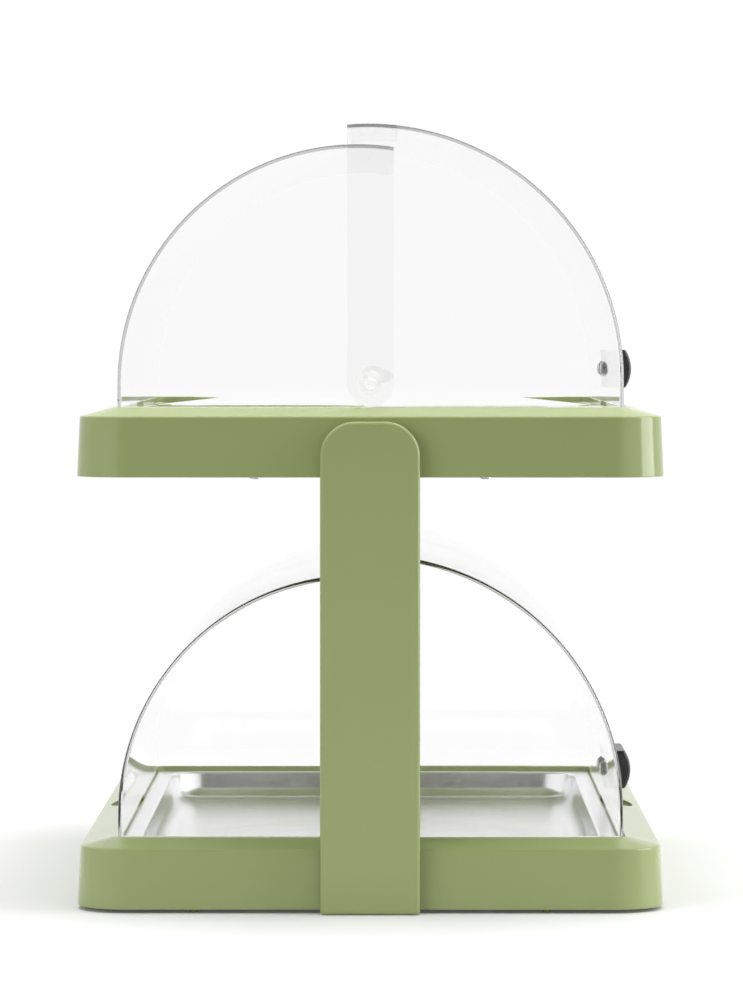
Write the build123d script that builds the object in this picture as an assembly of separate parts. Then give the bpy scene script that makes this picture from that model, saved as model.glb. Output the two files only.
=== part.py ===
"""Two-tier refrigerated buffet display.

Two identical moulded bases, each holding a GN 1/1 tray over two ice packs, stand one above the
other between two end posts. Each base carries a clear roll-top: a fixed rear half and a front lid
that swings up over it on two pivot pins.

Millimetres. +Z up, X across the short side (the lids open from +X), Y along the long side.
The origin is on the floor under the middle of the display.
"""

import os
from math import acos, asin, cos, degrees, sin, sqrt

from build123d import *

# Tray, the standard food pan that sets the size of the rest
tray_length = 530.0
tray_width = 325.0
tray_depth = 20.0
tray_sheet = 0.8
tray_rim = 12.0
tray_rim_corner = 6.5
tray_basin_corner = 25.0
tray_lean = 3.5
tray_bend = 11.0
tray_clearance = 0.5

# Base, the moulded body of one tier
skirt_low = 2.2
shoulder_low = 41.5
land_height = 47.3
tray_recess = 3.3
base_margin = 27.3
base_corner = 32.0
skirt_draft = 1.8
base_wall = 2.8
base_edge_round = 1.6
land_width_x = 4.0
land_width_y = 7.3
land_corner = 10.0
ledge_width = 9.6
ledge_thickness = 2.5

# Finger notch in each long shoulder
notch_length = 90.0
notch_reach = 21.0
notch_depth = 5.7
notch_wall = 2.5

# Well under the tray, ice packs and bottom plate
well_wall = 2.2
well_corner = 24.0
well_flange = 6.0
plate_thickness = 2.5
plate_clearance = 0.3
pack_thickness = 16.0
pack_clearance = 2.2
pack_gap = 3.0
pack_corner = 22.0
pack_edge_round = 3.0
pack_channel_width = 9.0
pack_channel_depth = 2.0
pack_channels = 3
pack_cap_radius = 11.0
pack_cap_gap = 1.0
pack_cap_rise = 1.2
foot_height = 2.2
foot_top_radius = 3.5
foot_bottom_radius = 2.4
foot_spacing = 229.2
foot_inset = 8.0

# Screws that hold the bottom plate
plate_boss_radius = 4.5
plate_boss_inset = 12.4
plate_boss_rows = (95.0, 235.0)
plate_boss_end = 75.0
plate_screw_radius = 2.0
plate_screw_length = 12.0
plate_screw_head_radius = 3.8
plate_screw_head = 1.6
screw_clearance = 0.2
screw_tip_room = 0.5
screw_boss_margin = 1.0

# Heads of all screws, as shares of the head's height or radius
screw_side_share = 0.45
slot_depth_share = 0.45
slot_length_share = 1.1
slot_width_share = 0.24

# Clear covers
cover_wall = 2.5
cover_end_round = 3.0
pivot_height = 15.4
lid_seat_gap = 0.3
lid_side_gap = 0.8
cover_radius = 156.8
cover_centre_x = -8.2
cover_centre_rise = -1.0
lid_radius = 166.1
lid_centre_x = -1.0
lid_centre_rise = 3.0

# Pivot pins
pin_radius = 4.0
pin_clearance = 0.05
pin_head_radius = 7.8
pin_head = 2.6
pin_head_round = 1.2
pin_ring_radius = 5.3
pin_ring_depth = 0.7
pin_head_gap = 0.2
retainer_radius = 7.0
retainer_thickness = 2.0

# Lid handle
handle_length = 66.0
handle_height = 26.5
handle_reach = 16.0
handle_dome = 4.0
handle_round = 2.0
handle_rise = 23.3
handle_groove_radius = 6.0
handle_lip = 1.5
handle_screw_spacing = 40.0
handle_screw_radius = 2.0
handle_screw_length = 12.0
handle_screw_head_radius = 4.2
handle_screw_head = 2.2
handle_washer_radius = 5.2
handle_washer_thickness = 0.8

# End posts
tier_pitch = 280.5
post_width = 64.7
post_height = 319.0
post_depth = 10.4
post_corner = 22.6
post_wall = 3.0
post_edge_round = 1.4
post_gap = 0.3
post_back_thickness = 2.0
post_back_clearance = 0.2
post_rib = 2.0
post_rib_spacing = 21.0
post_boss_radius = 4.6
post_screw_spacing = 34.0
post_screw_height = 17.0
post_screw_radius = 2.5
post_screw_length = 12.0
post_screw_head_radius = 4.6
post_screw_head = 2.6
post_pad_width = 50.0
post_pad_height = 27.0

# How far a cut runs on past the faces that it opens
over = 5.0

# Places worked out from the sizes above
opening_x = tray_width / 2 + tray_clearance
opening_y = tray_length / 2 + tray_clearance
base_x = tray_width / 2 + base_margin
base_y = tray_length / 2 + base_margin
land_x = opening_x + land_width_x
land_y = opening_y + land_width_y
ledge_top = land_height - tray_recess - tray_sheet
ledge_low = ledge_top - ledge_thickness
well_x = opening_x - ledge_width
well_y = opening_y - ledge_width
plate_top = skirt_low + plate_thickness
well_floor = plate_top + well_wall
basin_floor = ledge_top + tray_sheet - tray_depth
pivot_z = land_height + pivot_height
fixed_end = opening_y + cover_wall
lid_end = fixed_end + lid_side_gap + cover_wall
cover_centre_z = pivot_z + cover_centre_rise
lid_centre_z = pivot_z + lid_centre_rise
lid_foot = land_height + lid_seat_gap
lid_overlap = pivot_height - lid_seat_gap
handle_z = land_height + handle_rise
handle_front_x = lid_centre_x + lid_radius + handle_reach
washer_edge_rise = handle_z + handle_washer_radius - lid_centre_z
washer_face_x = lid_centre_x + sqrt((lid_radius - cover_wall) ** 2 - washer_edge_rise**2)
skirt_x = base_x + skirt_draft
skirt_y = base_y + skirt_draft
post_back_y = skirt_y + post_gap
post_front_y = post_back_y + post_depth
post_screw_seat = skirt_y - base_wall - skirt_draft


def slab(half_x, half_y, corner, z_low, z_high):
    """A plate with rounded corners, centred on the origin."""
    outline = Plane.XY.offset(z_low) * RectangleRounded(2 * half_x, 2 * half_y, corner)
    return extrude(outline, z_high - z_low)


def taper(low, high):
    """A straight-sided block between two rounded rectangles (half_x, half_y, corner, z)."""
    outlines = [
        Plane.XY.offset(z) * RectangleRounded(2 * half_x, 2 * half_y, corner)
        for half_x, half_y, corner, z in (low, high)
    ]
    return loft(outlines, ruled=True)


def rod_z(radius, x, y, z_low, z_high):
    """An upright cylinder."""
    return extrude(Plane.XY.offset(z_low) * Pos(x, y) * Circle(radius), z_high - z_low)


def rod_y(radius, x, z, y_low, y_high):
    """A cylinder along Y."""
    plane = Plane((x, y_low, z), x_dir=(1, 0, 0), z_dir=(0, 1, 0))
    return extrude(plane * Circle(radius), y_high - y_low)


def rod_x(radius, y, z, x_low, x_high):
    """A cylinder along X."""
    plane = Plane((x_low, y, z), x_dir=(0, 1, 0), z_dir=(1, 0, 0))
    return extrude(plane * Circle(radius), x_high - x_low)


def cap_arc(radius, edge, top):
    """Half profile of a round cap centred on the axis, from its edge to its top."""
    rise = top - edge
    ball = (radius**2 + rise**2) / (2 * rise)
    centre = top - ball
    half = asin(radius / abs(ball)) / 2
    return ThreePointArc(
        (radius, edge), (abs(ball) * sin(half), centre + ball * cos(half)), (0, top)
    )


def pan_screw(shank_radius, length, head_radius, head):
    """A pan-head screw with a cross recess, head below z = 0 and shank up along +Z."""
    side = screw_side_share * head
    head_profile = Plane.XZ * make_face(
        [
            Line((0, 0), (head_radius, 0)),
            Line((head_radius, 0), (head_radius, -side)),
            cap_arc(head_radius, -side, -head),
            Line((0, -head), (0, 0)),
        ]
    )
    screw = revolve(head_profile, Axis.Z) + rod_z(shank_radius, 0, 0, 0, length)
    slot = Box(
        slot_length_share * head_radius, slot_width_share * head_radius, 2 * slot_depth_share * head
    )
    for angle in (0, 90):
        screw -= Rot(0, 0, angle) * Pos(0, 0, -head) * slot
    return screw


def plate_screw_places():
    """Where the bottom plate is screwed: four on each long side, two at each end."""
    long_side = base_x - plate_boss_inset
    end_side = base_y - plate_boss_inset
    places = [(sx * long_side, sy * y) for sx in (-1, 1) for sy in (-1, 1) for y in plate_boss_rows]
    places += [(sx * plate_boss_end, sy * end_side) for sx in (-1, 1) for sy in (-1, 1)]
    return places


def post_screw_places():
    """X of the screws between a post and a base."""
    return (-post_screw_spacing / 2, post_screw_spacing / 2)


def notch_outline(grow):
    """Plan outline of the finger notch at the +X side, a circle that reaches out of the opening."""
    half = notch_length / 2
    radius = (half**2 + notch_reach**2) / (2 * notch_reach)
    return Pos(opening_x + notch_reach - radius, 0) * Circle(radius + grow)


def notch_block(z_low, z_high, grow):
    """The notch's circle as a block, kept outside the tray opening."""
    block = extrude(Plane.XY.offset(z_low) * notch_outline(grow), z_high - z_low)
    keep = Pos(opening_x + notch_reach, 0, (z_low + z_high) / 2) * Box(
        2 * (notch_reach + grow), notch_length + 2 * grow + over, z_high - z_low
    )
    return block & keep


def make_post_seats():
    """Flat pads for the posts on both end skirts, and bosses for the screw heads behind them."""
    depth = post_back_y - skirt_y + base_wall
    pad = Box(post_pad_width, depth, post_pad_height)
    seats = []
    for side in (-1, 1):
        place = Pos(0, side * (post_back_y - depth / 2), skirt_low + post_pad_height / 2)
        seats.append(place * pad)
        ends = sorted((side * post_screw_seat, side * (skirt_y - base_wall / 2)))
        for x in post_screw_places():
            boss_radius = post_screw_head_radius + screw_boss_margin
            seats.append(rod_y(boss_radius, x, post_screw_height, *ends))
    return seats


def make_base_shell():
    """Skirt, sloping shoulder, cover land and tray ledge in one moulding, open below."""
    skirt = taper(
        (skirt_x, skirt_y, base_corner + skirt_draft, skirt_low),
        (base_x, base_y, base_corner, shoulder_low),
    )
    shoulder = taper(
        (base_x, base_y, base_corner, shoulder_low), (land_x, land_y, land_corner, land_height)
    )
    body = skirt + shoulder
    rim = [e for e in body.edges() if abs(e.center().Z - shoulder_low) < 0.01 and e.length > 1]
    body = fillet(rim, base_edge_round)

    hollow = taper(
        (skirt_x - base_wall, skirt_y - base_wall, base_corner + skirt_draft - base_wall, skirt_low),
        (base_x - base_wall, base_y - base_wall, base_corner - base_wall, shoulder_low - base_wall),
    )
    hollow += taper(
        (base_x - base_wall, base_y - base_wall, base_corner - base_wall, shoulder_low - base_wall),
        (land_x, land_y, land_corner, land_height - base_wall),
    )
    lip = slab(opening_x + base_wall, opening_y + base_wall, tray_rim_corner, ledge_low, land_height)
    hollow -= lip
    notch_floor = land_height - notch_depth
    for angle in (0, 180):
        hollow -= Rot(0, 0, angle) * notch_block(notch_floor - notch_wall, land_height, notch_wall)
    for x, y in plate_screw_places():
        hollow -= rod_z(plate_boss_radius, x, y, plate_top, land_height)
    body -= hollow

    body += make_post_seats()
    for x in post_screw_places():
        for side in (-1, 1):
            y_low = side * skirt_y - 2 * over
            hole = post_screw_radius + screw_clearance
            body -= rod_y(hole, x, post_screw_height, y_low, y_low + 4 * over)

    body -= slab(opening_x, opening_y, tray_rim_corner, ledge_top, land_height + over)
    body -= slab(well_x, well_y, well_corner, -over, land_height)
    for angle in (0, 180):
        body -= Rot(0, 0, angle) * notch_block(notch_floor, land_height + over, 0)
    for x, y in plate_screw_places():
        hole_end = skirt_low + plate_screw_length + screw_tip_room
        body -= rod_z(plate_screw_radius, x, y, plate_top - over, hole_end)
    return body


def make_well_liner():
    """The tub under the tray that holds the ice packs."""
    tub = slab(well_x + well_wall, well_y + well_wall, well_corner + well_wall, plate_top, ledge_low)
    flange = slab(
        well_x + well_flange, well_y + well_flange, well_corner, ledge_low - well_wall, ledge_low
    )
    tub += flange
    hollow = slab(well_x, well_y, well_corner, well_floor, ledge_low + over)
    floor = hollow.faces().sort_by(Axis.Z)[0]
    return tub - fillet(floor.edges(), 2 * well_wall)


def make_ice_pack():
    """One half-length ice pack with filling channels and its filler cap, near end."""
    half_x = well_x - pack_clearance
    length = well_y - pack_clearance - pack_gap / 2
    body = slab(half_x, length / 2, pack_corner, well_floor, well_floor + pack_thickness)
    top = body.faces().sort_by(Axis.Z)[-1]
    bottom = body.faces().sort_by(Axis.Z)[0]
    body = fillet(top.edges() + bottom.edges(), pack_edge_round)
    pitch = 2 * half_x / (pack_channels + 1)
    channel_length = length - 4 * pack_corner
    top_z = well_floor + pack_thickness
    low_z = top_z - pack_channel_depth
    slot = SlotOverall(channel_length, pack_channel_width, rotation=90)
    for i in range(pack_channels):
        x = -half_x + (i + 1) * pitch
        body -= extrude(Plane.XY.offset(low_z) * Pos(x, 0) * slot, pack_channel_depth + over)
    cap_x = -half_x + pack_corner
    cap_y = -length / 2 + pack_corner
    body -= rod_z(pack_cap_radius + pack_cap_gap, cap_x, cap_y, low_z, top_z + over)
    body += rod_z(pack_cap_radius, cap_x, cap_y, low_z, low_z + pack_cap_rise)
    return Pos(0, -(pack_gap + length) / 2, 0) * body


def make_bottom_plate(with_feet):
    """The plate that closes the base; the lower one has four small moulded feet."""
    half_x = skirt_x - base_wall - plate_clearance
    half_y = skirt_y - base_wall - plate_clearance
    corner = base_corner + skirt_draft - base_wall - plate_clearance
    plate = slab(half_x, half_y, corner, skirt_low, plate_top)
    for x, y in plate_screw_places():
        plate -= rod_z(plate_screw_radius + screw_clearance, x, y, 0, plate_top + over)
    if with_feet:
        profile = Plane.XZ * Polygon(
            (0, skirt_low - foot_height),
            (foot_bottom_radius, skirt_low - foot_height),
            (foot_top_radius, skirt_low),
            (foot_top_radius, skirt_low + plate_thickness / 2),
            (0, skirt_low + plate_thickness / 2),
            align=None,
        )
        foot = revolve(profile, Axis.Z)
        for sx in (-1, 1):
            for sy in (-1, 1):
                plate += Pos(sx * foot_spacing / 2, sy * (skirt_y - foot_inset), 0) * foot
    return plate


def make_plate_screws():
    """The screws of one bottom plate."""
    screw = pan_screw(
        plate_screw_radius, plate_screw_length, plate_screw_head_radius, plate_screw_head
    )
    return Compound([Pos(x, y, skirt_low) * screw for x, y in plate_screw_places()])


def make_tray():
    """The pressed GN 1/1 tray: flat rim, leaning walls and a rounded bend into the floor."""
    rim_top = ledge_top + tray_sheet
    half_x = tray_width / 2
    half_y = tray_length / 2
    top_x = half_x - tray_rim
    top_y = half_y - tray_rim
    inner = taper(
        (top_x - tray_lean, top_y - tray_lean, tray_basin_corner - tray_lean, basin_floor),
        (top_x, top_y, tray_basin_corner, rim_top),
    )
    outer = taper(
        (
            top_x - tray_lean + tray_sheet,
            top_y - tray_lean + tray_sheet,
            tray_basin_corner - tray_lean + tray_sheet,
            basin_floor - tray_sheet,
        ),
        (top_x + tray_sheet, top_y + tray_sheet, tray_basin_corner + tray_sheet, rim_top),
    )
    inner = fillet(inner.faces().sort_by(Axis.Z)[0].edges(), tray_bend)
    outer = fillet(outer.faces().sort_by(Axis.Z)[0].edges(), tray_bend + tray_sheet)
    tray = outer + slab(half_x, half_y, tray_rim_corner - tray_clearance, ledge_top, rim_top)
    return tray - inner


def arch(centre_x, centre_z, radius, half_y, low):
    """The space inside a cover: a half round on straight sides."""
    outline = Pos(centre_x, centre_z) * Circle(radius)
    outline += Pos(centre_x, (centre_z + low) / 2) * Rectangle(2 * radius, centre_z - low)
    return extrude(Plane.XZ * outline, half_y, both=True)


def cover_outer(side, centre_x, centre_z, radius, foot, overlap, half_y):
    """Outside of one cover half: side is -1 for the fixed half at -X, +1 for the lid at +X.

    The round wall runs from the foot over the top, past the pivot by the overlap, where the end
    wall comes straight down and turns round the pivot to the foot.
    """
    far_x = centre_x + side * radius
    edge_x = -side * overlap
    top_z = centre_z + sqrt(radius**2 - (edge_x - centre_x) ** 2)
    start = 0 if side > 0 else 180
    sweep = degrees(acos((edge_x - centre_x) / radius)) - start
    outline = make_face(
        [
            Line((far_x, foot), (far_x, centre_z)),
            CenterArc((centre_x, centre_z), radius, start, sweep),
            Line((edge_x, top_z), (edge_x, pivot_z)),
            CenterArc((0, pivot_z), overlap, 180 - start, side * 90),
            Line((0, pivot_z - overlap), (far_x, foot)),
        ]
    )
    body = extrude(Plane.XZ * outline, half_y, both=True)
    rounded = [
        e
        for e in body.edges()
        if abs(abs(e.center().Y) - half_y) < 0.01
        and side * e.center().X > overlap + over
        and e.center().Z > foot + 1
    ]
    return fillet(rounded, cover_end_round)


def make_rear_cover():
    """The fixed half of the clear roll-top, standing on the land."""
    cover = cover_outer(
        -1, cover_centre_x, cover_centre_z, cover_radius, land_height, pivot_height, fixed_end
    )
    inner_radius = cover_radius - cover_wall
    cover -= arch(cover_centre_x, cover_centre_z, inner_radius, opening_y, -over)
    return cover - rod_y(pin_radius + pin_clearance, 0, pivot_z, -lid_end, lid_end)


def make_front_lid():
    """The swinging half of the clear roll-top, outside the fixed half."""
    lid = cover_outer(1, lid_centre_x, lid_centre_z, lid_radius, lid_foot, lid_overlap, lid_end)
    inner_radius = lid_radius - cover_wall
    lid -= arch(lid_centre_x, lid_centre_z, inner_radius, lid_end - cover_wall, -over)
    for y in handle_screw_rows():
        hole = handle_screw_radius + screw_clearance
        lid -= rod_x(hole, y, handle_z, lid_centre_x + inner_radius - over, handle_front_x)
    return lid - rod_y(pin_radius + pin_clearance, 0, pivot_z, -lid_end - over, lid_end + over)


def make_pivot_pin():
    """Near pivot pin: a ringed, domed head outside the lid and a plain shank through both walls."""
    shank_end = opening_y - retainer_thickness
    head_low = lid_end + pin_head_gap
    head_top = head_low + pin_head
    side_top = head_top - pin_head_round
    bend = pin_head_round * (1 - sqrt(0.5))
    ring_foot = pin_ring_radius - pin_ring_depth
    profile = make_face(
        [
            Line((0, -shank_end), (pin_radius, -shank_end)),
            Line((pin_radius, -shank_end), (pin_radius, -head_low)),
            Line((pin_radius, -head_low), (pin_head_radius, -head_low)),
            Line((pin_head_radius, -head_low), (pin_head_radius, -side_top)),
            ThreePointArc(
                (pin_head_radius, -side_top),
                (pin_head_radius - bend, -head_top + bend),
                (pin_head_radius - pin_head_round, -head_top),
            ),
            Line((pin_head_radius - pin_head_round, -head_top), (pin_ring_radius, -head_top)),
            Line((pin_ring_radius, -head_top), (ring_foot, -head_top + pin_ring_depth)),
            cap_arc(ring_foot, -head_top + pin_ring_depth, -head_top),
            Line((0, -head_top), (0, -shank_end)),
        ]
    )
    return Pos(0, 0, pivot_z) * revolve(profile, Axis.Y)


def make_pivot_retainer():
    """Push-on ring on the near pin, inside the fixed half's end wall."""
    ring = rod_y(retainer_radius, 0, pivot_z, -opening_y, -opening_y + retainer_thickness)
    return ring - rod_y(pin_radius, 0, pivot_z, -opening_y - over, -opening_y + over)


def handle_screw_rows():
    """Y of the handle's screws."""
    return (-handle_screw_spacing / 2, handle_screw_spacing / 2)


def make_lid_handle():
    """Bar handle on the lid with a domed front and a finger groove below."""
    low = handle_z - handle_height / 2
    high = handle_z + handle_height / 2
    back_x = handle_front_x - handle_reach - over
    flank_x = handle_front_x - handle_dome
    outline = make_face(
        [
            Line((back_x, low), (flank_x, low)),
            ThreePointArc((flank_x, low), (handle_front_x, handle_z), (flank_x, high)),
            Line((flank_x, high), (back_x, high)),
            Line((back_x, high), (back_x, low)),
        ]
    )
    handle = extrude(Plane.XZ * outline, handle_length / 2, both=True)
    rounded = [e for e in handle.edges() if e.center().X > back_x + 1]
    handle = fillet(rounded, handle_round)
    handle -= arch(lid_centre_x, lid_centre_z, lid_radius, handle_length, -over)
    groove_x = flank_x - handle_lip - handle_groove_radius
    groove_half = handle_length / 2 - 2 * handle_round
    handle -= rod_y(handle_groove_radius, groove_x, low, -groove_half, groove_half)
    screw_end = washer_face_x - handle_washer_thickness + handle_screw_length
    for y in handle_screw_rows():
        handle -= rod_x(handle_screw_radius, y, handle_z, back_x, screw_end + screw_tip_room)
    return handle


def make_handle_screws():
    """Two pan-head screws from inside the lid into the handle."""
    screw = pan_screw(
        handle_screw_radius, handle_screw_length, handle_screw_head_radius, handle_screw_head
    )
    seat = washer_face_x - handle_washer_thickness
    return Compound(
        [Pos(seat, y, handle_z) * Rot(0, 90, 0) * screw for y in handle_screw_rows()]
    )


def make_handle_washers():
    """Flat washers under the handle screws."""
    low = washer_face_x - handle_washer_thickness
    washers = []
    for y in handle_screw_rows():
        disc = rod_x(handle_washer_radius, y, handle_z, low, washer_face_x)
        hole_radius = handle_screw_radius + screw_clearance
        washers.append(disc - rod_x(hole_radius, y, handle_z, low - over, washer_face_x + over))
    return Compound(washers)


def post_outline(inset, low_inset):
    """Upright bar with two large rounded top corners, in X and Z."""
    half = post_width / 2 - inset
    top = post_height - inset
    radius = post_corner - inset
    bend = radius * (1 - sqrt(0.5))
    return make_face(
        [
            Line((-half, low_inset), (half, low_inset)),
            Line((half, low_inset), (half, top - radius)),
            ThreePointArc((half, top - radius), (half - bend, top - bend), (half - radius, top)),
            Line((half - radius, top), (radius - half, top)),
            ThreePointArc((radius - half, top), (bend - half, top - bend), (-half, top - radius)),
            Line((-half, top - radius), (-half, low_inset)),
        ]
    )


def post_screw_points():
    """(x, z) of the screws in one post, both tiers."""
    return [
        (x, post_screw_height + tier)
        for tier in (0.0, tier_pitch)
        for x in post_screw_places()
    ]


def make_near_post():
    """Moulded near post: rounded front, ribs and screw bosses inside."""
    front = Plane((0, -post_front_y, 0), x_dir=(1, 0, 0), z_dir=(0, -1, 0))
    body = extrude(front * post_outline(0, 0), -post_depth)
    face = body.faces().sort_by(Axis.Y)[0]
    body = fillet(face.edges(), post_edge_round)
    floor = Plane((0, -post_front_y + post_wall, 0), x_dir=(1, 0, 0), z_dir=(0, -1, 0))
    pocket = extrude(floor * post_outline(post_wall, post_wall), -post_depth)
    rib_depth = post_depth - post_wall - post_back_thickness
    rib_y = -post_front_y + post_wall + rib_depth / 2
    for x in (-post_rib_spacing / 2, post_rib_spacing / 2):
        pocket -= Pos(x, rib_y, post_height / 2) * Box(post_rib, rib_depth, post_height)
    for x, z in post_screw_points():
        pocket -= rod_y(post_boss_radius, x, z, rib_y - rib_depth / 2, rib_y + rib_depth / 2)
    body -= pocket
    for x, z in post_screw_points():
        hole_low = -post_front_y + post_wall
        body -= rod_y(post_screw_radius, x, z, hole_low, hole_low + post_depth)
    return body


def make_near_post_back():
    """Closing strip set into the back of the near post."""
    inset = post_wall + post_back_clearance
    back = Plane((0, -post_back_y, 0), x_dir=(1, 0, 0), z_dir=(0, -1, 0))
    strip = extrude(back * post_outline(inset, inset), post_back_thickness)
    for x, z in post_screw_points():
        hole = post_screw_radius + screw_clearance
        strip -= rod_y(hole, x, z, -post_back_y - over, -post_back_y + over)
    return strip


def make_post_screws():
    """The screws between one base and both posts."""
    screw = pan_screw(
        post_screw_radius, post_screw_length, post_screw_head_radius, post_screw_head
    )
    turn = Rot(90, 0, 0)
    seat = -post_screw_seat
    near = [Pos(x, seat, post_screw_height) * turn * screw for x in post_screw_places()]
    far = [Rot(0, 0, 180) * piece for piece in near]
    return Compound(near + far)


def write(name, shape, lift=0.0):
    """Write one node, raised to its tier."""
    export_step(Pos(0, 0, lift) * shape, f"parts/{name}.step")


def turned(shape):
    """The same piece at the other end of the display."""
    return Rot(0, 0, 180) * shape


def main():
    os.makedirs("parts", exist_ok=True)
    pack = make_ice_pack()
    pin = make_pivot_pin()
    retainer = make_pivot_retainer()
    pieces = {
        "base_shell": make_base_shell(),
        "well_liner": make_well_liner(),
        "plate_screws": make_plate_screws(),
        "near_ice_pack": pack,
        "far_ice_pack": turned(pack),
        "food_tray": make_tray(),
        "rear_cover": make_rear_cover(),
        "front_lid": make_front_lid(),
        "lid_handle": make_lid_handle(),
        "handle_screws": make_handle_screws(),
        "handle_washers": make_handle_washers(),
        "near_pivot_pin": pin,
        "far_pivot_pin": turned(pin),
        "near_pivot_retainer": retainer,
        "far_pivot_retainer": turned(retainer),
        "post_screws": make_post_screws(),
    }
    for tier, lift in (("lower", 0.0), ("upper", tier_pitch)):
        for name, shape in pieces.items():
            write(f"{tier}_{name}", shape, lift)
        write(f"{tier}_bottom_plate", make_bottom_plate(tier == "lower"), lift)
    post = make_near_post()
    back = make_near_post_back()
    write("near_post", post)
    write("far_post", turned(post))
    write("near_post_back", back)
    write("far_post_back", turned(back))
    swing = degrees(asin(lid_overlap / (lid_radius - cover_wall)))
    print(f"pivot at z {pivot_z:.1f} and {pivot_z + tier_pitch:.1f}, lid passes it by {swing:.1f} deg")


main()
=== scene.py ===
"""Looks of the two-tier buffet display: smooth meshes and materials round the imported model.

Metres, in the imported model's frame: +Z up, the lids on the +X side, the near end at -Y.
"""

import functools
import math

import bmesh
import bpy
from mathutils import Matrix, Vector


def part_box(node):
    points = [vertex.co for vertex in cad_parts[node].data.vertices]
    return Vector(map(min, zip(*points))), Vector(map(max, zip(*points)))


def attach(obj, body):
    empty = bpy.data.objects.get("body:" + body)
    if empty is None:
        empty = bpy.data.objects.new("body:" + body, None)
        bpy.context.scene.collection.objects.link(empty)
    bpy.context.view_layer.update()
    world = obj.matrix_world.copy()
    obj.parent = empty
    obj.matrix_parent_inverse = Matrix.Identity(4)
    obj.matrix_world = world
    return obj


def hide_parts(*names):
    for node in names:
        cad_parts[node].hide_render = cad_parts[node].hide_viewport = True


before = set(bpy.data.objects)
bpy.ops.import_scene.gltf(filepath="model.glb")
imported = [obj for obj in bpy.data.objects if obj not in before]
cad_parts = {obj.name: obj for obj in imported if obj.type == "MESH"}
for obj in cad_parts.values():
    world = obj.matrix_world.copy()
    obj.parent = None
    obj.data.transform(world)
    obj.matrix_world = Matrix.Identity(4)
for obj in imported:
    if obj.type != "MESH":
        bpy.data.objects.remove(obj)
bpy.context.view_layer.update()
MM = 0.001
QUARTER = math.pi / 2

# Base shell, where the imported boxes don't show it
SKIRT_DRAFT = 1.8 * MM
SHOULDER_DROP = 5.8 * MM
BASE_CORNER = 32.0 * MM
BASE_WALL = 2.8 * MM
LAND_X = 4.0 * MM
LAND_Y = 7.3 * MM
LAND_CORNER = 10.0 * MM
LEDGE_WIDTH = 9.6 * MM
LEDGE_THICKNESS = 2.5 * MM
WELL_CORNER = 24.0 * MM
WELL_WALL = 2.2 * MM
PLATE_THICKNESS = 2.5 * MM
PLATE_GAP = 0.3 * MM
FOOT_ROUND = 0.6 * MM
SKIRT_ROUND = 1.6 * MM
SHOULDER_ROUND = 0.8 * MM
LAND_ROUND = 0.5 * MM

# Finger notches in the long shoulders, and how far their cutter reaches past the material
NOTCH_LENGTH = 90.0 * MM
NOTCH_REACH = 21.0 * MM
NOTCH_DEPTH = 5.7 * MM
NOTCH_INSIDE = 1.0 * MM
NOTCH_ABOVE = 20.0 * MM

# Food tray
TRAY_GAP = 0.5 * MM
TRAY_CORNER = 6.0 * MM
TRAY_SHEET = 0.8 * MM
TRAY_RIM = 12.0 * MM
TRAY_EDGE_ROUND = 0.5 * MM
TRAY_LIP = 1.6 * MM
TRAY_LIP_DROP = 0.9 * TRAY_LIP
TRAY_LEAN = 3.5 * MM
TRAY_BEND = 11.0 * MM
TRAY_BASIN_CORNER = 25.0 * MM

# Clear covers, with the centres of their arcs measured from the pivot
COVER_WALL = 2.5 * MM
COVER_END_ROUND = 3.0 * MM
COVER_INNER_ROUND = 0.5 * MM
COVER_RIM_ROUND = 0.35 * MM
REAR_RADIUS = 156.8 * MM
REAR_CENTRE_X = -8.2 * MM
REAR_CENTRE_RISE = -1.0 * MM
LID_RADIUS = 166.05 * MM
LID_CENTRE_X = -1.0 * MM
LID_CENTRE_RISE = 3.0 * MM

# Pivot pins: a shank, and a head with a ring round its domed middle
PIN_HOLE = 4.05 * MM
PIN_RADIUS = 4.0 * MM
PIN_TIP_BEVEL = 0.4 * MM
PIN_HEAD = 2.6 * MM
PIN_HEAD_BEVEL = 0.2 * MM
PIN_HEAD_ROUND = 1.2 * MM
PIN_RING = 5.3 * MM
PIN_RING_BEVEL_OUT = 0.3 * MM
PIN_RING_BEVEL_DOWN = 0.2 * MM
PIN_GROOVE_START = 0.4 * MM
PIN_GROOVE_END = 0.6 * MM
PIN_GROOVE_DEPTH = 0.7 * MM

# End posts
POST_CORNER = 22.6 * MM
POST_EDGE_ROUND = 2.4 * MM

# Camera: a little above the upper base and far off, for the photograph's narrow angle
CAMERA_X = 13.5 * MM
CAMERA_HEIGHT = 377.3 * MM
CAMERA_DISTANCE = 3250.0 * MM
NEAR_FACE = 292.3 * MM
PIXELS_PER_MM = 1.5465
FRAME_WIDTH = 743
FRAME_HEIGHT = 1000
HORIZON = (391.0, 331.2)
SENSOR = 36.0

# Floor and surroundings, where a strength of 1 is white
FLOOR_SIZE = 12.0
FLOOR_DROP = 0.2 * MM
FLOOR_COLOUR = 0.72
FLOOR_LIFT = 0.06
SHADOW_REACH = 0.5
WORLD_LIGHT = 0.44
MIRROR_DIM = 0.06

# Components of a unit direction between which the mirrored surroundings turn white
WHITE_BEHIND = (-0.3, 0.6)
WHITE_ASIDE = (0.2, 0.5)

# Clear walls: the depth to which rays see them as glass, and what straight rays keep at a wall; past
# the depth a darker tone, painted shade on the rims
GLASS_DEPTH = 8
SHADOW_TONE = 0.98
PAINTED_RIM_SHADE = 0.84

# Points of a mesh that lie closer than this are one
MERGE_DISTANCE = 0.0001 * MM


def arc(start, end, steps, first=0):
    """Cosine and sine at even steps between two angles in radians, from the first step on."""
    angles = [start + (end - start) * i / steps for i in range(first, steps + 1)]
    return [(math.cos(angle), math.sin(angle)) for angle in angles]


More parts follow.
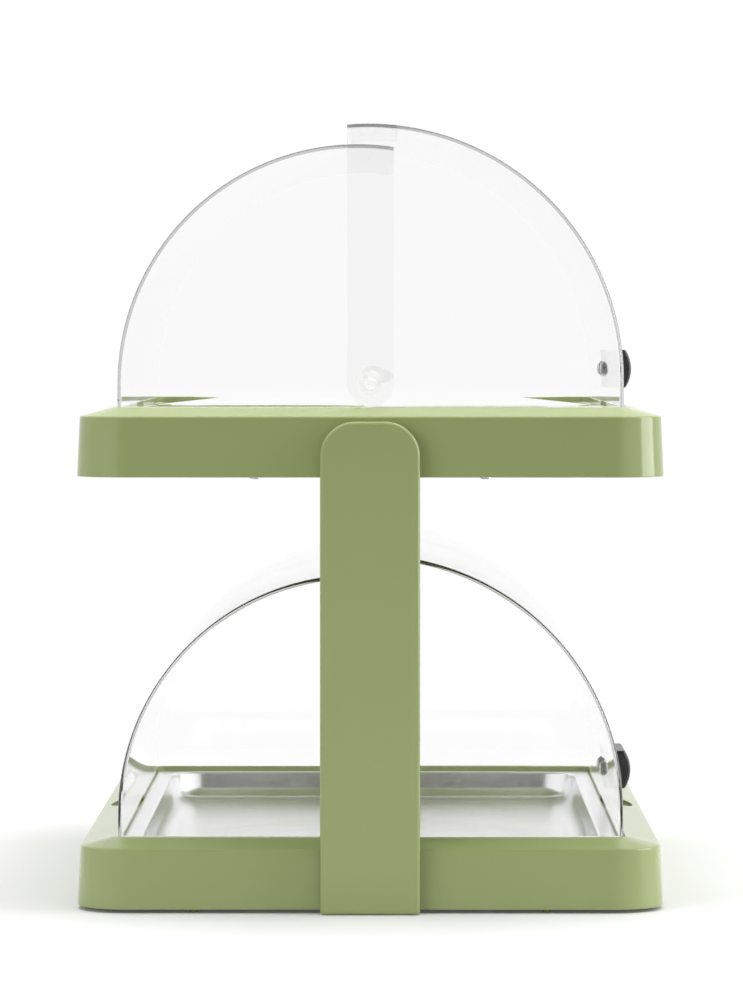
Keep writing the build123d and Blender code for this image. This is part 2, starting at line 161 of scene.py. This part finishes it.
def rounded_ring(half_x, half_y, corner, z, grow=0.0, steps=14):
    """Points round a rounded rectangle grown on all sides, the same number for any size."""
    radius = corner + grow
    points = []
    for quarter in range(4):
        centre_x = (half_x - corner) * (1 if quarter in (0, 3) else -1)
        centre_y = (half_y - corner) * (1 if quarter in (0, 1) else -1)
        for cos, sin in arc(quarter * QUARTER, (quarter + 1) * QUARTER, steps):
            points.append(Vector((centre_x + radius * cos, centre_y + radius * sin, z)))
    return points


def fillet_steps(before, corner, after, radius, steps=5):
    """Points of the arc that rounds one corner of a profile."""
    corner = Vector(corner)
    start = (Vector(before) - corner).normalized()
    end = (Vector(after) - corner).normalized()
    half = start.angle(end) / 2
    centre = corner + (start + end).normalized() * radius / math.sin(half)
    first = (corner + start * radius / math.tan(half) - centre).normalized()
    last = (corner + end * radius / math.tan(half) - centre).normalized()
    return [centre + first.slerp(last, i / steps) * radius for i in range(steps + 1)]


def band(bm, low, high):
    """Quads between two closed loops with the same number of points."""
    for i in range(len(low)):
        j = (i + 1) % len(low)
        bm.faces.new((low[i], low[j], high[j], high[i]))


def ring_mesh(rings, closed=False, cap_first=False, cap_last=False):
    """A bmesh of quads between rings of points; closed joins the last ring to the first."""
    bm = bmesh.new()
    rows = [[bm.verts.new(p) for p in ring] for ring in rings]
    for low, high in zip(rows, rows[1:]):
        band(bm, low, high)
    if closed:
        band(bm, rows[-1], rows[0])
    if cap_first:
        bm.faces.new(list(reversed(rows[0])))
    if cap_last:
        bm.faces.new(rows[-1])
    return bm


def lathe(profile, steps=64):
    """A bmesh turned round the Z axis from (radius, z) points that start and end on the axis."""
    bm = bmesh.new()
    turn = arc(0, 4 * QUARTER, steps)[:-1]
    rows = []
    for radius, z in profile:
        if radius == 0:
            rows.append([bm.verts.new((0, 0, z))])
        else:
            rows.append([bm.verts.new((radius * cos, radius * sin, z)) for cos, sin in turn])
    for low, high in zip(rows, rows[1:]):
        for i in range(steps):
            j = (i + 1) % steps
            corners = (low[i % len(low)], low[j % len(low)], high[j % len(high)], high[i % len(high)])
            unique = list(dict.fromkeys(corners))
            if len(unique) > 2:
                bm.faces.new(unique)
    return bm


def shade(obj, smooth_angle):
    """Merges doubled points and shades smooth, with sharp edges past an angle in degrees."""
    bm = bmesh.new()
    bm.from_mesh(obj.data)
    bmesh.ops.remove_doubles(bm, verts=bm.verts, dist=MERGE_DISTANCE)
    for face in bm.faces:
        face.smooth = True
    limit = math.radians(smooth_angle)
    for edge in bm.edges:
        edge.smooth = len(edge.link_faces) == 2 and edge.calc_face_angle(0) < limit
    bm.to_mesh(obj.data)
    bm.free()
    normals = obj.modifiers.new("normals", "WEIGHTED_NORMAL")
    normals.keep_sharp = True
    normals.weight = 50


def new_object(name, bm, material, smooth_angle=35):
    """Makes a shaded object of a bmesh."""
    bmesh.ops.recalc_face_normals(bm, faces=bm.faces)
    mesh = bpy.data.meshes.new(name)
    bm.to_mesh(mesh)
    bm.free()
    obj = bpy.data.objects.new(name, mesh)
    bpy.context.scene.collection.objects.link(obj)
    obj.data.materials.append(material)
    shade(obj, smooth_angle)
    return obj


def bake_modifiers(obj, smooth_angle=35):
    """Applies an object's modifiers and shades what they made."""
    obj.modifiers.remove(obj.modifiers["normals"])
    bpy.context.view_layer.update()
    evaluated = obj.evaluated_get(bpy.context.evaluated_depsgraph_get())
    mesh = bpy.data.meshes.new_from_object(evaluated)
    obj.modifiers.clear()
    old = obj.data
    obj.data = mesh
    bpy.data.meshes.remove(old)
    shade(obj, smooth_angle)


def bevel_edges(obj, width, segments, over):
    """Rounds an object's edges that turn by more than an angle in degrees."""
    bevel = obj.modifiers.new("bevel", "BEVEL")
    bevel.limit_method = "ANGLE"
    bevel.angle_limit = math.radians(over)
    bevel.width = width
    bevel.segments = segments


class Graph:
    """The nodes of a material or a world, with helpers that add and join them.

    Inputs are named by keyword, with an underscore for a space.
    """

    def __init__(self, tree):
        self.nodes = tree.nodes
        self.links = tree.links
        self.coords = self.add("TexCoord").outputs

    @functools.cached_property
    def path(self):
        """Which kind of ray meets the surface or the world, and after how many others."""
        return self.add("LightPath").outputs

    def add(self, kind, *values, **named):
        """A new node, its inputs fed in their order or by name."""
        node = self.nodes.new(f"ShaderNode{kind}")
        self.feed(node, *values, **named)
        return node

    def feed(self, node, *values, **named):
        """Gives inputs of a node, in their order or by name, another node's output or a value."""
        named = {name.replace("_", " "): value for name, value in named.items()}
        for place, value in [*enumerate(values), *named.items()]:
            if isinstance(value, bpy.types.NodeSocket):
                self.links.new(value, node.inputs[place])
            else:
                node.inputs[place].default_value = value

    def maths(self, operation, *values):
        """The result of a sum on one or two values."""
        node = self.add("Math", *values)
        node.operation = operation
        return node.outputs["Value"]

    def seen(self, *kinds):
        """1 on rays of any of these kinds, and otherwise 0."""
        found = self.path[f"Is {kinds[0]} Ray"]
        for kind in kinds[1:]:
            found = self.maths("MAXIMUM", found, self.path[f"Is {kind} Ray"])
        return found

    def span(self, value, low, high, between=(0.0, 1.0), smooth=False):
        """Runs from low to high while a value goes between two others."""
        node = self.add("MapRange", Value=value, To_Min=low, To_Max=high)
        self.feed(node, From_Min=between[0], From_Max=between[1])
        node.interpolation_type = "SMOOTHSTEP" if smooth else "LINEAR"
        return node.outputs["Result"]


class Shader(Graph):
    """A node material built on the surface that Blender gives a new one."""

    def __init__(self, name):
        self.material = bpy.data.materials.new(name)
        self.material.use_nodes = True
        super().__init__(self.material.node_tree)
        self.bsdf = self.nodes["Principled BSDF"]

    def noise(self, scale, detail, stretch=(1, 1, 1)):
        mapping = self.add("Mapping", Vector=self.coords["Object"], Scale=stretch)
        noise = self.add("TexNoise", Vector=mapping.outputs["Vector"], Scale=scale, Detail=detail)
        return noise.outputs["Fac"]

    def ramp(self, fac, low, high, between=(0.3, 0.7)):
        """Colours from low to high while a value goes between two others."""
        ramp = self.add("ValToRGB", Fac=fac)
        for element, place, colour in zip(ramp.color_ramp.elements, between, (low, high)):
            element.position = place
            element.color = colour
        return ramp.outputs["Color"]

    def bump(self, fac, strength, distance):
        bump = self.add("Bump", Strength=strength, Distance=distance, Height=fac)
        self.feed(self.bsdf, Normal=bump.outputs["Normal"])

    def show(self, first, second, share):
        """Shows a share of the second shader over the first."""
        mix = self.add("MixShader", share, first, second)
        self.feed(self.nodes["Material Output"], Surface=mix.outputs["Shader"])


def grey(value):
    return (value, value, value, 1)


def tint(colour, factor):
    return tuple(min(1.0, c * factor) for c in colour) + (1,)


def moulded_plastic(name, colour, rough, grain):
    """Moulded plastic: slight colour drift, a fine grain and a soft sheen."""
    shader = Shader(name)
    drift = shader.noise(scale=6.0, detail=1.0)
    sheen = shader.noise(scale=14.0, detail=1.0)
    wide = (0.1, 0.9)
    shader.feed(
        shader.bsdf,
        Base_Color=shader.ramp(drift, tint(colour, 0.985), tint(colour, 1.015), wide),
        Roughness=shader.ramp(sheen, grey(rough), grey(rough + 0.04), wide),
        IOR=1.5,
    )
    shader.bump(shader.noise(scale=grain, detail=2.0), strength=0.05, distance=0.02 * MM)
    return shader.material


def satin_steel(name, colour, rough, stretch):
    """Pressed stainless steel with a fine rolled grain."""
    shader = Shader(name)
    grain = shader.noise(scale=160.0, detail=3.0, stretch=stretch)
    shader.feed(
        shader.bsdf,
        Base_Color=shader.ramp(grain, tint(colour, 0.98), tint(colour, 1.02)),
        Roughness=shader.ramp(grain, grey(rough), grey(rough + 0.05)),
        Metallic=1.0,
    )
    fine = shader.noise(scale=400.0, detail=2.0, stretch=stretch)
    shader.bump(fine, strength=0.03, distance=0.02 * MM)
    return shader.material


def clear_plastic(name, tone, rough, gloss):
    """Clear polycarbonate.

    Shadow and diffuse rays pass straight through. So do rays past a depth, which would otherwise be
    caught inside the thin wall and blacken its rims; these keep less at each wall, a painted shade
    that darkens the rims a little in place of the light lost inside.
    """
    shader = Shader(name)
    smear = shader.noise(scale=30.0, detail=2.0)
    shader.feed(
        shader.bsdf,
        Base_Color=grey(tone),
        Roughness=shader.ramp(smear, grey(rough), grey(rough + 0.02)),
        Transmission_Weight=1.0,
        IOR=1.49,
        Specular_Tint=grey(gloss),
    )
    shader.bump(shader.noise(scale=14.0, detail=1.0), strength=0.01, distance=0.1 * MM)
    deep = shader.maths("GREATER_THAN", shader.path["Ray Depth"], GLASS_DEPTH)
    # Rays past the depth get a darker tint: painted shade on the rims of the wall
    clear = shader.add("BsdfTransparent", shader.ramp(deep, grey(SHADOW_TONE), grey(PAINTED_RIM_SHADE)))
    straight = shader.maths("MAXIMUM", shader.seen("Shadow", "Diffuse"), deep)
    shader.show(shader.bsdf.outputs["BSDF"], clear.outputs["BSDF"], straight)
    return shader.material


def hazy_plastic(name, tone, haze):
    """Clear plastic of the small pins, seen as a faint haze without bending what lies behind."""
    shader = Shader(name)
    smear = shader.ramp(shader.noise(scale=60.0, detail=2.0), grey(0.15), grey(0.2))
    shader.feed(shader.bsdf, Base_Color=grey(tone), Alpha=haze, Roughness=smear, IOR=1.49)
    return shader.material


green = moulded_plastic("green_plastic", (0.288, 0.345, 0.139), rough=0.13, grain=1400.0)
liner_green = moulded_plastic("liner_plastic", (0.24, 0.29, 0.12), rough=0.5, grain=900.0)
charcoal = moulded_plastic("black_plastic", (0.02, 0.02, 0.021), rough=0.3, grain=1200.0)
pack_blue = moulded_plastic("ice_pack_plastic", (0.62, 0.76, 0.86), rough=0.4, grain=600.0)
tray_steel = satin_steel("tray_steel", (0.92, 0.92, 0.925), rough=0.22, stretch=(1, 6, 1))
screw_steel = satin_steel("screw_steel", (0.62, 0.62, 0.62), rough=0.22, stretch=(1, 1, 1))
clear_cover = clear_plastic("clear_cover", tone=0.999, rough=0.0, gloss=0.35)
clear_pin = hazy_plastic("clear_pin", tone=0.95, haze=0.12)


def make_base(tier):
    """The moulded base: drafted skirt, sloping shoulder, land, ledge and well."""
    low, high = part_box(f"{tier}_base_shell")
    tray_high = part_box(f"{tier}_food_tray")[1]
    open_x = tray_high.x + TRAY_GAP
    open_y = tray_high.y + TRAY_GAP
    open_corner = TRAY_CORNER + TRAY_GAP
    skirt_x = high.x
    skirt_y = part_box(f"{tier}_bottom_plate")[1].y + BASE_WALL + PLATE_GAP
    skirt_corner = BASE_CORNER + SKIRT_DRAFT
    edge_z = high.z - SHOULDER_DROP
    ledge_z = tray_high.z - TRAY_SHEET
    under_z = ledge_z - LEDGE_THICKNESS
    plate_z = low.z + PLATE_THICKNESS
    # Outside, from foot to ledge: distance inside the skirt's foot, height, half length, corner
    # radius, and the round of that edge, where it has one
    outside = [
        (BASE_WALL, low.z, skirt_y - BASE_WALL, BASE_CORNER, 0),
        (0.0, low.z, skirt_y, skirt_corner, FOOT_ROUND),
        (SKIRT_DRAFT, edge_z, skirt_y - SKIRT_DRAFT, BASE_CORNER, SKIRT_ROUND),
        (skirt_x - open_x - LAND_X, high.z, open_y + LAND_Y, LAND_CORNER, SHOULDER_ROUND),
        (skirt_x - open_x, high.z, open_y, open_corner, LAND_ROUND),
        (skirt_x - open_x, ledge_z, open_y, open_corner, 0),
    ]
    rings = []
    for i, (inside, z, half_y, corner, edge_round) in enumerate(outside):
        ring = (skirt_x - inside, half_y, corner)
        if edge_round:
            before, here, after = [point[:2] for point in outside[i - 1:i + 2]]
            for point in fillet_steps(before, here, after, edge_round):
                rings.append(rounded_ring(*ring, point.y, inside - point.x))
        else:
            rings.append(rounded_ring(*ring, z))
    # Ledge, well, and the inside of the skirt back to the foot
    well = (open_x - LEDGE_WIDTH, open_y - LEDGE_WIDTH, WELL_CORNER)
    skirt = (skirt_x, skirt_y, skirt_corner)
    rings.append(rounded_ring(*well, ledge_z))
    rings.append(rounded_ring(*well, under_z))
    rings.append(rounded_ring(*well, under_z, WELL_WALL))
    rings.append(rounded_ring(*well, plate_z, WELL_WALL))
    rings.append(rounded_ring(*skirt, plate_z, -BASE_WALL))
    base = new_object(f"{tier}_base_body", ring_mesh(rings, closed=True), green)
    cut_notches(base, open_x, high.z)
    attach(base, "frame")
    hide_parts(f"{tier}_base_shell")


def cut_notches(base, open_x, land_z):
    """Cuts the two finger notches into the long shoulders."""
    half = NOTCH_LENGTH / 2
    radius = (half**2 + NOTCH_REACH**2) / (2 * NOTCH_REACH)
    centre_x = open_x + NOTCH_REACH - radius
    swing = math.asin(half / radius)
    outline = [(open_x - NOTCH_INSIDE, half), (open_x - NOTCH_INSIDE, -half)]
    for cos, sin in arc(-swing, swing, steps=32):
        outline.append((centre_x + radius * cos, radius * sin))
    ends = (land_z - NOTCH_DEPTH, land_z + NOTCH_ABOVE)
    cutters = []
    for side in (-1, 1):
        rings = [[Vector((side * x, y, z)) for x, y in outline] for z in ends]
        cutter = new_object("notch_cutter", ring_mesh(rings, cap_first=True, cap_last=True), green)
        cutters.append(cutter)
        cut = base.modifiers.new("notch", "BOOLEAN")
        cut.operation = "DIFFERENCE"
        cut.object = cutter
        cut.solver = "EXACT"
    bake_modifiers(base)
    for cutter in cutters:
        bpy.data.objects.remove(cutter)


def make_tray(tier):
    """The pressed steel tray with a rounded rim edge, leaning walls and a soft bend."""
    low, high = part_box(f"{tier}_food_tray")
    rim = (high.x, high.y, TRAY_CORNER)
    basin = (high.x - TRAY_RIM, high.y - TRAY_RIM, TRAY_BASIN_CORNER)
    floor_z = low.z + TRAY_SHEET
    bend_z = floor_z + TRAY_BEND
    lean = TRAY_LEAN * (high.z - bend_z) / (high.z - floor_z)
    rings = [rounded_ring(*rim, high.z - TRAY_SHEET)]
    for cos, sin in arc(0, QUARTER, steps=4, first=1):
        drop = TRAY_EDGE_ROUND * (1 - sin)
        rings.append(rounded_ring(*rim, high.z - drop, -TRAY_EDGE_ROUND * (1 - cos)))
    for cos, sin in arc(0, QUARTER, steps=5):
        drop = TRAY_LIP_DROP * (1 - cos)
        rings.append(rounded_ring(*basin, high.z - drop, TRAY_LIP * (1 - sin)))
    for cos, sin in arc(0, QUARTER, steps=8):
        inset = lean + TRAY_BEND * (1 - cos)
        rings.append(rounded_ring(*basin, bend_z - TRAY_BEND * sin, -inset))
    smooth_angle = 60
    bm = ring_mesh(rings, cap_last=True)
    tray = new_object(f"{tier}_steel_tray", bm, tray_steel, smooth_angle)
    sheet = tray.modifiers.new("sheet", "SOLIDIFY")
    sheet.thickness = TRAY_SHEET
    sheet.offset = -1
    sheet.use_even_offset = True
    bake_modifiers(tray, smooth_angle)
    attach(tray, "frame")
    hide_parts(f"{tier}_food_tray")


class CoverShape:
    """End view of one cover half in X and Z: a round part and the straight rest of its outline."""

    def __init__(self, node, side, centre_x, centre_z, radius, pivot):
        low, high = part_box(node)
        self.side = side
        self.centre_x = centre_x
        self.centre_z = centre_z
        self.radius = radius
        self.pivot = pivot
        self.foot = low.z
        self.edge_x = low.x if side > 0 else high.x
        self.half_y = high.y

    def round_part(self, inset, rise_steps=4):
        """Foot to leading edge, moved inwards by the inset."""
        radius = self.radius - inset
        far_x = self.centre_x + self.side * radius
        rise = (self.centre_z - self.foot) / rise_steps
        points = [(far_x, self.foot + rise * i) for i in range(rise_steps)]
        start = 0.0 if self.side > 0 else math.pi
        end = math.acos((self.edge_x - self.centre_x) / radius)
        for cos, sin in arc(start, end, steps=96):
            points.append((self.centre_x + radius * cos, self.centre_z + radius * sin))
        return points

    def rest(self, inset, straight_steps=24):
        """From the leading edge down, round the pivot and along the foot, ends left out."""
        top_z = self.round_part(inset)[-1][1]
        drop = (top_z - self.pivot) / straight_steps
        points = [(self.edge_x, top_z - drop * i) for i in range(1, straight_steps + 1)]
        for cos, sin in arc(0, QUARTER, steps=16, first=1):
            points.append((self.edge_x * cos, self.pivot - abs(self.edge_x) * sin))
        along = (self.centre_x + self.side * (self.radius - inset)) / straight_steps
        points += [(along * i, self.foot) for i in range(1, straight_steps)]
        return points


def add_skin(bm, shape, depth, corner):
    """One skin of a cover, a depth inside its outside. Returns its three open loops."""
    stations = []
    for cos, sin in arc(0, QUARTER, steps=6):
        inset = depth + corner * (1 - sin)
        stations.append((inset, depth - shape.half_y + corner * (1 - cos)))
    stations += [(inset, -y) for inset, y in reversed(stations)]
    rows = [[bm.verts.new((x, y, z)) for x, z in shape.round_part(inset)] for inset, y in stations]
    for low, high in zip(rows, rows[1:]):
        for i in range(len(low) - 1):
            bm.faces.new((low[i], low[i + 1], high[i + 1], high[i]))
    loops = []
    rests = []
    for row, (inset, y) in ((rows[0], stations[0]), (rows[-1], stations[-1])):
        rest = [bm.verts.new((x, y, z)) for x, z in shape.rest(inset)]
        outline = row + rest
        hole = []
        for v in outline:
            way = Vector((v.co.x, v.co.z - shape.pivot)).normalized() * PIN_HOLE
            hole.append(bm.verts.new((way.x, y, shape.pivot + way.y)))
        band(bm, outline, hole)
        rests.append(rest)
        loops.append(hole)
    edge = [row[-1] for row in rows]
    foot = [row[0] for row in rows]
    loops.append(edge + rests[1] + foot[::-1] + rests[0][::-1])
    return loops


def make_cover(name, node, body, shape):
    """One clear cover half: outer and inner skin joined at the rims, with softened edges."""
    bm = bmesh.new()
    outer = add_skin(bm, shape, depth=0.0, corner=COVER_END_ROUND)
    inner = add_skin(bm, shape, depth=COVER_WALL, corner=COVER_INNER_ROUND)
    for first, second in zip(outer, inner):
        band(bm, first, second)
    smooth_angle = 50
    cover = new_object(name, bm, clear_cover, smooth_angle)
    bevel_edges(cover, COVER_RIM_ROUND, segments=2, over=60)
    bake_modifiers(cover, smooth_angle)
    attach(cover, body)
    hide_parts(node)


def pivot_height(tier):
    """Height of the pivot: the middle of the near pin."""
    low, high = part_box(f"{tier}_near_pivot_pin")
    return (low.z + high.z) / 2


def make_pin(tier, end):
    """Clear pivot pin with a ringed head and a domed middle."""
    node = f"{tier}_{end}_pivot_pin"
    low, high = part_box(node)
    inner, lean = (high.y, QUARTER) if end == "near" else (low.y, -QUARTER)
    length = high.y - low.y
    head = high.x
    neck = length - PIN_HEAD
    profile = [
        (0, 0),
        (PIN_RADIUS - PIN_TIP_BEVEL, 0),
        (PIN_RADIUS, PIN_TIP_BEVEL),
        (PIN_RADIUS, neck),
        (head - PIN_HEAD_BEVEL, neck),
        (head, neck + PIN_HEAD_BEVEL),
        (head, length - PIN_HEAD_ROUND),
    ]
    for cos, sin in arc(0, QUARTER, steps=6, first=1):
        profile.append((head - PIN_HEAD_ROUND * (1 - cos), length - PIN_HEAD_ROUND * (1 - sin)))
    profile += [
        (PIN_RING + PIN_RING_BEVEL_OUT, length),
        (PIN_RING, length - PIN_RING_BEVEL_DOWN),
        (PIN_RING - PIN_GROOVE_START, length - PIN_GROOVE_DEPTH),
    ]
    dome_steps = 8
    for i in range(1, dome_steps + 1):
        share = 1 - i / dome_steps
        radius = (PIN_RING - PIN_GROOVE_END) * share
        profile.append((radius, length - PIN_GROOVE_DEPTH * share**2))
    pin = new_object(node + "_clear", lathe(profile), clear_pin, smooth_angle=40)
    pin.rotation_euler.x = lean
    pin.location = (0, inner, pivot_height(tier))
    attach(pin, f"{tier}_cover")
    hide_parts(node)


def make_post(end):
    """Flat post with large rounded top corners and a soft edge all round."""
    node = f"{end}_post"
    low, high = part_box(node)
    centre_x = high.x - POST_CORNER
    centre_z = high.z - POST_CORNER
    outline = [(-high.x, low.z), (high.x, low.z)]
    for side, start in ((1, 0), (-1, QUARTER)):
        for cos, sin in arc(start, start + QUARTER, steps=24):
            outline.append((side * centre_x + POST_CORNER * cos, centre_z + POST_CORNER * sin))
    back, front = (high.y, low.y) if end == "near" else (low.y, high.y)
    rings = [[Vector((x, y, z)) for x, z in outline] for y in (back, front)]
    post = new_object(f"{end}_post_body", ring_mesh(rings, cap_first=True, cap_last=True), green)
    bevel_edges(post, POST_EDGE_ROUND, segments=4, over=40)
    bake_modifiers(post)
    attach(post, "frame")
    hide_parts(node, f"{end}_post_back")


def dress(node, material):
    """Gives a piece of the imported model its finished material."""
    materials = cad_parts[node].data.materials
    materials.clear()
    materials.append(material)


def make_tier(tier):
    make_base(tier)
    make_tray(tier)
    pivot = pivot_height(tier)
    rear = f"{tier}_rear_cover"
    lid = f"{tier}_front_lid"
    rear_shape = CoverShape(
        rear, side=-1, centre_x=REAR_CENTRE_X, centre_z=pivot + REAR_CENTRE_RISE,
        radius=REAR_RADIUS, pivot=pivot,
    )
    lid_shape = CoverShape(
        lid, side=1, centre_x=LID_CENTRE_X, centre_z=pivot + LID_CENTRE_RISE,
        radius=LID_RADIUS, pivot=pivot,
    )
    make_cover(f"{tier}_clear_rear", rear, f"{tier}_cover", rear_shape)
    make_cover(f"{tier}_clear_lid", lid, f"{tier}_lid", lid_shape)
    for end in ("near", "far"):
        make_pin(tier, end)
        dress(f"{tier}_{end}_pivot_retainer", clear_pin)
        dress(f"{tier}_{end}_ice_pack", pack_blue)
    dress(f"{tier}_well_liner", liner_green)
    dress(f"{tier}_bottom_plate", green)
    dress(f"{tier}_lid_handle", charcoal)
    for node in ("plate_screws", "handle_screws", "handle_washers", "post_screws"):
        dress(f"{tier}_{node}", screw_steel)


def aim(obj, way):
    """Points a camera or lamp along a direction, upright."""
    obj.rotation_euler = way.to_track_quat("-Z", "Y").to_euler()


def make_camera():
    """Camera whose vanishing point of the long side falls where the photograph has it."""
    focal = PIXELS_PER_MM * CAMERA_DISTANCE / MM
    data = bpy.data.cameras.new("camera")
    data.sensor_width = SENSOR
    data.lens = focal / FRAME_HEIGHT * SENSOR
    data.clip_end = 50
    camera = bpy.data.objects.new("camera", data)
    bpy.context.scene.collection.objects.link(camera)
    camera.location = (CAMERA_X, -NEAR_FACE - CAMERA_DISTANCE, CAMERA_HEIGHT)
    right = (FRAME_WIDTH / 2 - HORIZON[0]) / focal
    down = (FRAME_HEIGHT / 2 - HORIZON[1]) / focal
    aim(camera, Vector((right, 1.0, -down)))
    bpy.context.scene.camera = camera


def make_floor():
    """Pale floor that keeps the display's soft shadow and runs on white into the distance."""
    shader = Shader("floor")
    shader.feed(shader.bsdf, Base_Color=grey(FLOOR_COLOUR), Roughness=0.7)
    seen = shader.seen("Camera", "Transmission", "Glossy")
    lift = shader.add("Emission", Strength=shader.maths("MULTIPLY", seen, FLOOR_LIFT))
    near = shader.add("AddShader", shader.bsdf.outputs["BSDF"], lift.outputs["Emission"])
    white = shader.add("Emission", Strength=shader.span(seen, WORLD_LIGHT, 1.0))
    away = shader.add("VectorMath", shader.coords["Object"])
    away.operation = "LENGTH"
    fade = (SHADOW_REACH, 2 * SHADOW_REACH)
    far = shader.span(away.outputs["Value"], 0.0, 1.0, fade, smooth=True)
    shader.show(near.outputs["Shader"], white.outputs["Emission"], far)
    bm = bmesh.new()
    bmesh.ops.create_grid(bm, x_segments=1, y_segments=1, size=FLOOR_SIZE)
    floor = new_object("floor", bm, shader.material)
    floor.location.z = -FLOOR_DROP


def make_world():
    """White surroundings, at a lower level where diffuse rays meet them.

    What gloss mirrors is dim from the near side to overhead, and white to the sides and behind
    the display.
    """
    world = bpy.data.worlds.new("studio")
    bpy.context.scene.world = world
    world.use_nodes = True
    graph = Graph(world.node_tree)
    way = graph.add("SeparateXYZ", graph.coords["Generated"]).outputs
    behind = graph.span(way["Y"], 0.0, 1.0, WHITE_BEHIND, smooth=True)
    aside = graph.span(graph.maths("ABSOLUTE", way["X"]), 0.0, 1.0, WHITE_ASIDE, smooth=True)
    mirrored = graph.span(graph.maths("MAXIMUM", behind, aside), MIRROR_DIM, 1.0)
    shown = graph.span(graph.path["Glossy Depth"], 1.0, mirrored)
    level = graph.span(graph.seen("Diffuse"), shown, WORLD_LIGHT)
    graph.feed(graph.nodes["Background"], Color=grey(1.0), Strength=level)


def make_lamp(name, place, target, size, power, glossy):
    """A softbox that doesn't show through the clear covers."""
    data = bpy.data.lights.new(name, "AREA")
    data.shape = "RECTANGLE"
    data.size, data.size_y = size
    data.energy = power
    lamp = bpy.data.objects.new(name, data)
    bpy.context.scene.collection.objects.link(lamp)
    lamp.visible_glossy = glossy
    lamp.visible_transmission = False
    lamp.location = place
    aim(lamp, Vector(target) - Vector(place))


for tier_name in ("lower", "upper"):
    make_tier(tier_name)
for end_name in ("near", "far"):
    make_post(end_name)

make_camera()
make_floor()
make_world()
make_lamp(
    "top_softbox", place=(0.0, 0.2, 2.2), target=(0, 0, 0.2), size=(2.0, 2.0), power=62,
    glossy=False,
)
make_lamp(
    "right_softbox", place=(2.1, -0.3, 0.8), target=(0, 0, 0.25), size=(1.4, 1.6), power=36,
    glossy=True,
)
make_lamp(
    "left_softbox", place=(-1.5, -1.8, 0.9), target=(0, 0, 0.25), size=(1.4, 1.4), power=16,
    glossy=False,
)

scene = bpy.context.scene
scene.view_settings.view_transform = "Standard"
scene.cycles.max_bounces = 24
scene.cycles.transmission_bounces = 24
scene.cycles.glossy_bounces = 8
scene.cycles.transparent_max_bounces = 32
